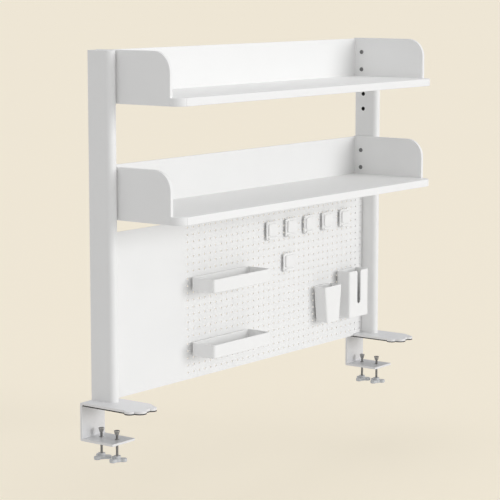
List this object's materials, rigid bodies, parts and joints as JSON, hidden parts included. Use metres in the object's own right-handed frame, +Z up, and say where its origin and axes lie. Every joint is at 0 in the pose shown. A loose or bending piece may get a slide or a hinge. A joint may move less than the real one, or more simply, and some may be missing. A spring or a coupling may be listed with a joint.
{
  "type": "clamp-on desk shelf",
  "caption": "Desk shelf on screw clamps: long boards with end plates between tall posts, and a perforated panel that holds hooks, trays, a pen cup and a slotted box.",
  "frame": {"origin": "on the desk's top plane, at the desk's rear edge, midway between the posts", "axes": "+X along the shelves to the right, +Y to the back, +Z up"},
  "size_m": [1.118, 0.237, 0.893],
  "materials": {
    "powder_coat": "white powder coat, satin",
    "laminate": "white matt laminate on board",
    "clamp_coat": "silver-white powder coat",
    "pad_rubber": "black matt rubber",
    "screw_steel": "zinc plated steel",
    "dark_steel": "black oxide steel",
    "knob_plastic": "light grey moulded",
    "white_plastic": "white moulded, satin"
  },
  "bodies": {
    "frame": {"left_post": "powder_coat", "left_post_cap": "white_plastic", "left_post_foot": "white_plastic", "left_base_screws": "screw_steel", "left_post_inserts": "dark_steel", "left_clamp_bracket": "clamp_coat", "left_desk_pad": "pad_rubber", "left_clamp_nuts": "screw_steel", "left_panel_angle": "powder_coat", "right_post": "powder_coat", "right_post_cap": "white_plastic", "right_post_foot": "white_plastic", "right_base_screws": "screw_steel", "right_post_inserts": "dark_steel", "right_clamp_bracket": "clamp_coat", "right_desk_pad": "pad_rubber", "right_clamp_nuts": "screw_steel", "right_panel_angle": "powder_coat", "upper_shelf_board": "laminate", "upper_back_panel": "laminate", "upper_panel_screws": "screw_steel", "upper_cam_locks": "screw_steel", "upper_cam_pins": "screw_steel", "upper_left_end_plate": "laminate", "upper_left_plate_bolts": "dark_steel", "upper_right_end_plate": "laminate", "upper_right_plate_bolts": "dark_steel", "lower_shelf_board": "laminate", "lower_back_panel": "laminate", "lower_panel_screws": "screw_steel", "lower_cam_locks": "screw_steel", "lower_cam_pins": "screw_steel", "lower_left_end_plate": "laminate", "lower_left_plate_bolts": "dark_steel", "lower_right_end_plate": "laminate", "lower_right_plate_bolts": "dark_steel", "peg_panel": "powder_coat", "panel_angle_screws": "screw_steel"},
    "left_rear_cup": {"left_rear_pressure_cup": "screw_steel"},
    "left_rear_screw": {"left_rear_clamp_screw": "screw_steel", "left_rear_clamp_knob": "knob_plastic"},
    "left_front_cup": {"left_front_pressure_cup": "screw_steel"},
    "left_front_screw": {"left_front_clamp_screw": "screw_steel", "left_front_clamp_knob": "knob_plastic"},
    "right_rear_cup": {"right_rear_pressure_cup": "screw_steel"},
    "right_rear_screw": {"right_rear_clamp_screw": "screw_steel", "right_rear_clamp_knob": "knob_plastic"},
    "right_front_cup": {"right_front_pressure_cup": "screw_steel"},
    "right_front_screw": {"right_front_clamp_screw": "screw_steel", "right_front_clamp_knob": "knob_plastic"},
    "hook_1_body": {"hook_1": "white_plastic"},
    "hook_2_body": {"hook_2": "white_plastic"},
    "hook_3_body": {"hook_3": "white_plastic"},
    "hook_4_body": {"hook_4": "white_plastic"},
    "hook_5_body": {"hook_5": "white_plastic"},
    "hook_6_body": {"hook_6": "white_plastic"},
    "upper_tray_body": {"upper_tray": "white_plastic"},
    "lower_tray_body": {"lower_tray": "white_plastic"},
    "pen_cup_body": {"pen_cup": "white_plastic"},
    "slotted_box_body": {"slotted_box": "white_plastic"}
  },
  "joints": [
    {"name": "left_rear_cup_lift", "type": "slide", "parent": "frame", "child": "left_rear_cup", "axis": [0, 0, 1], "range_m": [-0.008, 0.029]},
    {"name": "left_rear_screw_turn", "type": "hinge", "parent": "left_rear_cup", "child": "left_rear_screw", "pos_m": [-0.5217, -0.0205, -0.08], "axis": [0, 0, 1], "range_deg": [-2885, 10445]},
    {"name": "left_front_cup_lift", "type": "slide", "parent": "frame", "child": "left_front_cup", "axis": [0, 0, 1], "range_m": [-0.008, 0.029]},
    {"name": "left_front_screw_turn", "type": "hinge", "parent": "left_front_cup", "child": "left_front_screw", "pos_m": [-0.5217, -0.0655, -0.08], "axis": [0, 0, 1], "range_deg": [-2885, 10445]},
    {"name": "right_rear_cup_lift", "type": "slide", "parent": "frame", "child": "right_rear_cup", "axis": [0, 0, 1], "range_m": [-0.008, 0.029]},
    {"name": "right_rear_screw_turn", "type": "hinge", "parent": "right_rear_cup", "child": "right_rear_screw", "pos_m": [0.5043, -0.0205, -0.08], "axis": [0, 0, 1], "range_deg": [-2885, 10445]},
    {"name": "right_front_cup_lift", "type": "slide", "parent": "frame", "child": "right_front_cup", "axis": [0, 0, 1], "range_m": [-0.008, 0.029]},
    {"name": "right_front_screw_turn", "type": "hinge", "parent": "right_front_cup", "child": "right_front_screw", "pos_m": [0.5043, -0.0655, -0.08], "axis": [0, 0, 1], "range_deg": [-2885, 10445]},
    {"name": "hook_1_pull", "type": "slide", "parent": "frame", "child": "hook_1_body", "axis": [0, -1, 0], "range_m": [0, 0.012]},
    {"name": "hook_2_pull", "type": "slide", "parent": "frame", "child": "hook_2_body", "axis": [0, -1, 0], "range_m": [0, 0.012]},
    {"name": "hook_3_pull", "type": "slide", "parent": "frame", "child": "hook_3_body", "axis": [0, -1, 0], "range_m": [0, 0.012]},
    {"name": "hook_4_pull", "type": "slide", "parent": "frame", "child": "hook_4_body", "axis": [0, -1, 0], "range_m": [0, 0.012]},
    {"name": "hook_5_pull", "type": "slide", "parent": "frame", "child": "hook_5_body", "axis": [0, -1, 0], "range_m": [0, 0.012]},
    {"name": "hook_6_pull", "type": "slide", "parent": "frame", "child": "hook_6_body", "axis": [0, -1, 0], "range_m": [0, 0.012]},
    {"name": "upper_tray_pull", "type": "slide", "parent": "frame", "child": "upper_tray_body", "axis": [0, -1, 0], "range_m": [0, 0.012]},
    {"name": "lower_tray_pull", "type": "slide", "parent": "frame", "child": "lower_tray_body", "axis": [0, -1, 0], "range_m": [0, 0.012]},
    {"name": "pen_cup_pull", "type": "slide", "parent": "frame", "child": "pen_cup_body", "axis": [0, -1, 0], "range_m": [0, 0.012]},
    {"name": "slotted_box_pull", "type": "slide", "parent": "frame", "child": "slotted_box_body", "axis": [0, -1, 0], "range_m": [0, 0.012]}
  ],
  "couplings": [
    {"joint": "left_rear_screw_turn", "follows": "left_rear_cup_lift", "rad_per_m": 6283.2},
    {"joint": "left_front_screw_turn", "follows": "left_front_cup_lift", "rad_per_m": 6283.2},
    {"joint": "right_rear_screw_turn", "follows": "right_rear_cup_lift", "rad_per_m": 6283.2},
    {"joint": "right_front_screw_turn", "follows": "right_front_cup_lift", "rad_per_m": 6283.2}
  ]
}
